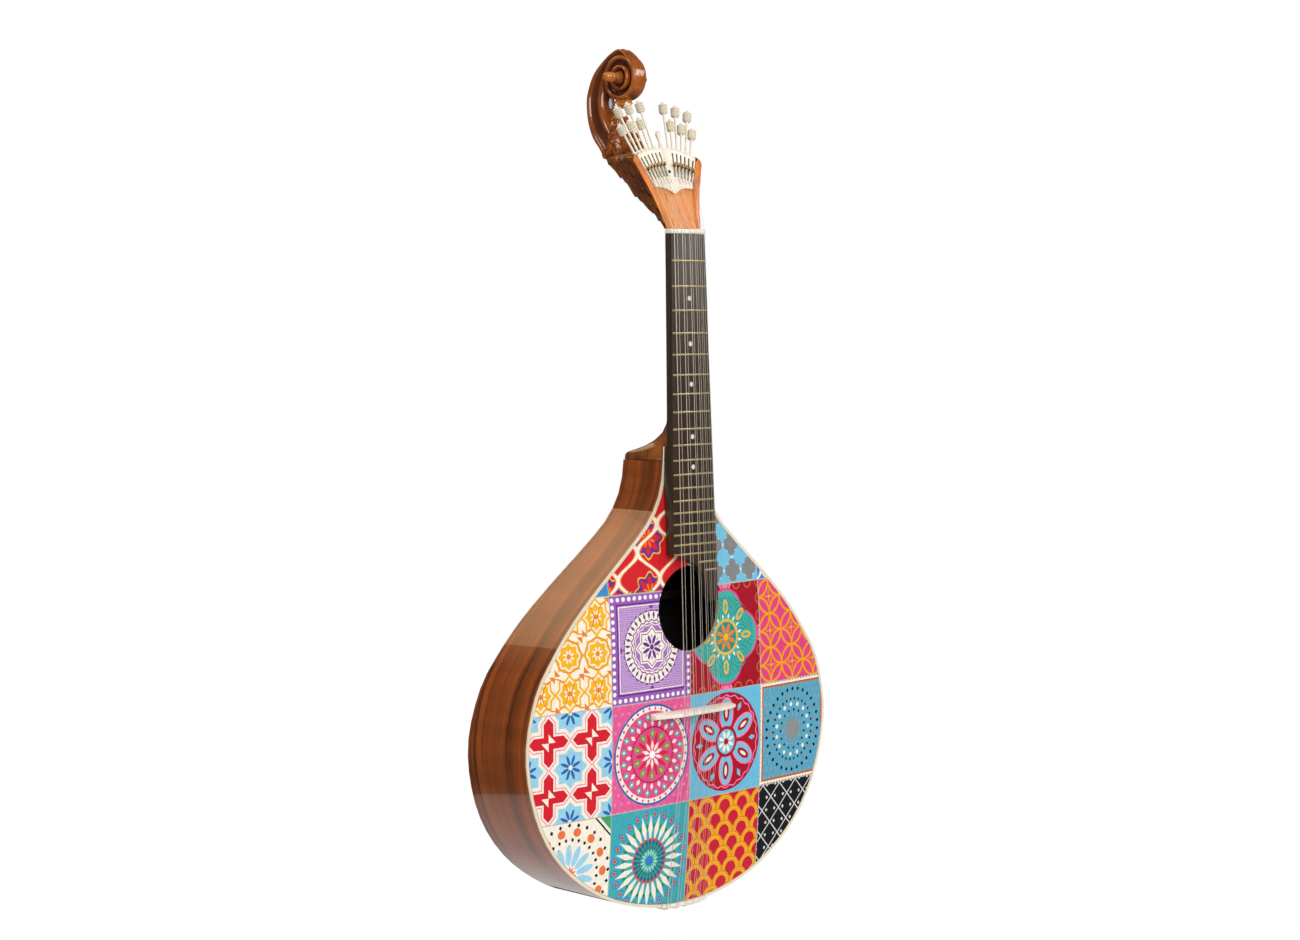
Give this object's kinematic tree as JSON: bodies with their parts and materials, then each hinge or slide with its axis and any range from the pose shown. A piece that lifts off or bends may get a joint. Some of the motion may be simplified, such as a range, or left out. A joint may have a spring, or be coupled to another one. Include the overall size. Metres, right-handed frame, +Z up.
{
  "type": "portuguese guitar",
  "caption": "Pear-bodied lute-family guitar with a tile-patterned top, a fan of tuning screws with travelling hooks, and a carved scroll head.",
  "frame": {"origin": "the hanging point: the middle of the neck where the head begins to flare, on the fingerboard back plane", "axes": "+Z up the neck from the body to the head, -Y out of the soundboard towards the player of the strings, +X across the strings towards the thinnest course"},
  "size_m": [0.3954, 0.1493, 0.8083],
  "materials": {
    "painted_top": "printed patchwork under clear gloss lacquer",
    "walnut": "figured walnut under clear gloss lacquer",
    "cream": "polished cream bone and binding",
    "pale_wood": "bare planed spruce",
    "ebony": "oiled near-black hardwood with inlaid metal frets",
    "head_wood": "straight-grained orange-brown wood under gloss lacquer",
    "scroll_wood": "carved dark red-brown wood under gloss lacquer",
    "nickel": "polished nickel silver",
    "brass": "worn brass",
    "steel": "drawn steel string"
  },
  "bodies": {
    "instrument": {"soundboard": "painted_top", "back_plate": "walnut", "rim_bass_side": "walnut", "rim_treble_side": "walnut", "top_binding": "cream", "top_lining": "pale_wood", "back_lining": "pale_wood", "neck_block": "pale_wood", "tail_block": "pale_wood", "neck": "walnut", "fingerboard": "ebony", "nut": "cream", "bridge": "cream", "tail_saddle": "cream", "tailpiece": "nickel", "head": "head_wood", "fan_plate": "nickel", "scroll": "scroll_wood", "top_brace_1": "pale_wood", "top_brace_2": "pale_wood", "top_brace_3": "pale_wood", "back_brace_1": "pale_wood", "back_brace_2": "pale_wood", "centre_finial": "nickel", "string_1": "steel", "string_2": "steel", "string_3": "steel", "string_4": "steel", "string_5": "steel", "string_6": "steel", "string_7": "steel", "string_8": "steel", "string_9": "steel", "string_10": "steel", "string_11": "steel", "string_12": "steel"},
    "screw_1": {"tuning_screw_1": "nickel"},
    "travelling_nut_1": {"hook_nut_1": "brass"},
    "screw_2": {"tuning_screw_2": "nickel"},
    "travelling_nut_2": {"hook_nut_2": "brass"},
    "screw_3": {"tuning_screw_3": "nickel"},
    "travelling_nut_3": {"hook_nut_3": "brass"},
    "screw_4": {"tuning_screw_4": "nickel"},
    "travelling_nut_4": {"hook_nut_4": "brass"},
    "screw_5": {"tuning_screw_5": "nickel"},
    "travelling_nut_5": {"hook_nut_5": "brass"},
    "screw_6": {"tuning_screw_6": "nickel"},
    "travelling_nut_6": {"hook_nut_6": "brass"},
    "screw_7": {"tuning_screw_7": "nickel"},
    "travelling_nut_7": {"hook_nut_7": "brass"},
    "screw_8": {"tuning_screw_8": "nickel"},
    "travelling_nut_8": {"hook_nut_8": "brass"},
    "screw_9": {"tuning_screw_9": "nickel"},
    "travelling_nut_9": {"hook_nut_9": "brass"},
    "screw_10": {"tuning_screw_10": "nickel"},
    "travelling_nut_10": {"hook_nut_10": "brass"},
    "screw_11": {"tuning_screw_11": "nickel"},
    "travelling_nut_11": {"hook_nut_11": "brass"},
    "screw_12": {"tuning_screw_12": "nickel"},
    "travelling_nut_12": {"hook_nut_12": "brass"}
  },
  "joints": [
    {"name": "screw_turn_1", "type": "hinge", "parent": "instrument", "child": "screw_1", "pos_m": [-0.03593, 0.02473, 0.06712], "axis": [-0.3875, 0.291, 0.8747], "range_deg": [-4114.3, 4114.3]},
    {"name": "nut_slide_1", "type": "slide", "parent": "instrument", "child": "travelling_nut_1", "axis": [-0.3875, 0.291, 0.8747], "range_m": [-0.008, 0.008], "deforming": ["string_1"]},
    {"name": "screw_turn_2", "type": "hinge", "parent": "instrument", "child": "screw_2", "pos_m": [-0.03077, 0.02535, 0.06897], "axis": [-0.3404, 0.2968, 0.8922], "range_deg": [-4114.3, 4114.3]},
    {"name": "nut_slide_2", "type": "slide", "parent": "instrument", "child": "travelling_nut_2", "axis": [-0.3404, 0.2968, 0.8922], "range_m": [-0.008, 0.008], "deforming": ["string_2"]},
    {"name": "screw_turn_3", "type": "hinge", "parent": "instrument", "child": "screw_3", "pos_m": [-0.0255, 0.02586, 0.07053], "axis": [-0.2924, 0.3019, 0.9074], "range_deg": [-4114.3, 4114.3]},
    {"name": "nut_slide_3", "type": "slide", "parent": "instrument", "child": "travelling_nut_3", "axis": [-0.2924, 0.3019, 0.9074], "range_m": [-0.008, 0.008], "deforming": ["string_3"]},
    {"name": "screw_turn_4", "type": "hinge", "parent": "instrument", "child": "screw_4", "pos_m": [-0.02014, 0.02628, 0.07179], "axis": [-0.2436, 0.3061, 0.9203], "range_deg": [-4114.3, 4114.3]},
    {"name": "nut_slide_4", "type": "slide", "parent": "instrument", "child": "travelling_nut_4", "axis": [-0.2436, 0.3061, 0.9203], "range_m": [-0.008, 0.008], "deforming": ["string_4"]},
    {"name": "screw_turn_5", "type": "hinge", "parent": "instrument", "child": "screw_5", "pos_m": [-0.01472, 0.0266, 0.07275], "axis": [-0.1942, 0.3096, 0.9308], "range_deg": [-4114.3, 4114.3]},
    {"name": "nut_slide_5", "type": "slide", "parent": "instrument", "child": "travelling_nut_5", "axis": [-0.1942, 0.3096, 0.9308], "range_m": [-0.008, 0.008], "deforming": ["string_5"]},
    {"name": "screw_turn_6", "type": "hinge", "parent": "instrument", "child": "screw_6", "pos_m": [-0.00925, 0.02682, 0.07341], "axis": [-0.1444, 0.3123, 0.9389], "range_deg": [-4114.3, 4114.3]},
    {"name": "nut_slide_6", "type": "slide", "parent": "instrument", "child": "travelling_nut_6", "axis": [-0.1444, 0.3123, 0.9389], "range_m": [-0.008, 0.008], "deforming": ["string_6"]},
    {"name": "screw_turn_7", "type": "hinge", "parent": "instrument", "child": "screw_7", "pos_m": [0.00925, 0.02682, 0.07341], "axis": [0.1444, 0.3123, 0.9389], "range_deg": [-4114.3, 4114.3]},
    {"name": "nut_slide_7", "type": "slide", "parent": "instrument", "child": "travelling_nut_7", "axis": [0.1444, 0.3123, 0.9389], "range_m": [-0.008, 0.008], "deforming": ["string_7"]},
    {"name": "screw_turn_8", "type": "hinge", "parent": "instrument", "child": "screw_8", "pos_m": [0.01472, 0.0266, 0.07275], "axis": [0.1942, 0.3096, 0.9308], "range_deg": [-4114.3, 4114.3]},
    {"name": "nut_slide_8", "type": "slide", "parent": "instrument", "child": "travelling_nut_8", "axis": [0.1942, 0.3096, 0.9308], "range_m": [-0.008, 0.008], "deforming": ["string_8"]},
    {"name": "screw_turn_9", "type": "hinge", "parent": "instrument", "child": "screw_9", "pos_m": [0.02014, 0.02628, 0.07179], "axis": [0.2436, 0.3061, 0.9203], "range_deg": [-4114.3, 4114.3]},
    {"name": "nut_slide_9", "type": "slide", "parent": "instrument", "child": "travelling_nut_9", "axis": [0.2436, 0.3061, 0.9203], "range_m": [-0.008, 0.008], "deforming": ["string_9"]},
    {"name": "screw_turn_10", "type": "hinge", "parent": "instrument", "child": "screw_10", "pos_m": [0.0255, 0.02586, 0.07053], "axis": [0.2924, 0.3019, 0.9074], "range_deg": [-4114.3, 4114.3]},
    {"name": "nut_slide_10", "type": "slide", "parent": "instrument", "child": "travelling_nut_10", "axis": [0.2924, 0.3019, 0.9074], "range_m": [-0.008, 0.008], "deforming": ["string_10"]},
    {"name": "screw_turn_11", "type": "hinge", "parent": "instrument", "child": "screw_11", "pos_m": [0.03077, 0.02535, 0.06897], "axis": [0.3404, 0.2968, 0.8922], "range_deg": [-4114.3, 4114.3]},
    {"name": "nut_slide_11", "type": "slide", "parent": "instrument", "child": "travelling_nut_11", "axis": [0.3404, 0.2968, 0.8922], "range_m": [-0.008, 0.008], "deforming": ["string_11"]},
    {"name": "screw_turn_12", "type": "hinge", "parent": "instrument", "child": "screw_12", "pos_m": [0.03593, 0.02473, 0.06712], "axis": [0.3875, 0.291, 0.8747], "range_deg": [-4114.3, 4114.3]},
    {"name": "nut_slide_12", "type": "slide", "parent": "instrument", "child": "travelling_nut_12", "axis": [0.3875, 0.291, 0.8747], "range_m": [-0.008, 0.008], "deforming": ["string_12"]}
  ],
  "couplings": [
    {"joint": "screw_turn_1", "follows": "nut_slide_1", "rad_per_m": 8976},
    {"joint": "screw_turn_2", "follows": "nut_slide_2", "rad_per_m": 8976},
    {"joint": "screw_turn_3", "follows": "nut_slide_3", "rad_per_m": 8976},
    {"joint": "screw_turn_4", "follows": "nut_slide_4", "rad_per_m": 8976},
    {"joint": "screw_turn_5", "follows": "nut_slide_5", "rad_per_m": 8976},
    {"joint": "screw_turn_6", "follows": "nut_slide_6", "rad_per_m": 8976},
    {"joint": "screw_turn_7", "follows": "nut_slide_7", "rad_per_m": 8976},
    {"joint": "screw_turn_8", "follows": "nut_slide_8", "rad_per_m": 8976},
    {"joint": "screw_turn_9", "follows": "nut_slide_9", "rad_per_m": 8976},
    {"joint": "screw_turn_10", "follows": "nut_slide_10", "rad_per_m": 8976},
    {"joint": "screw_turn_11", "follows": "nut_slide_11", "rad_per_m": 8976},
    {"joint": "screw_turn_12", "follows": "nut_slide_12", "rad_per_m": 8976}
  ]
}
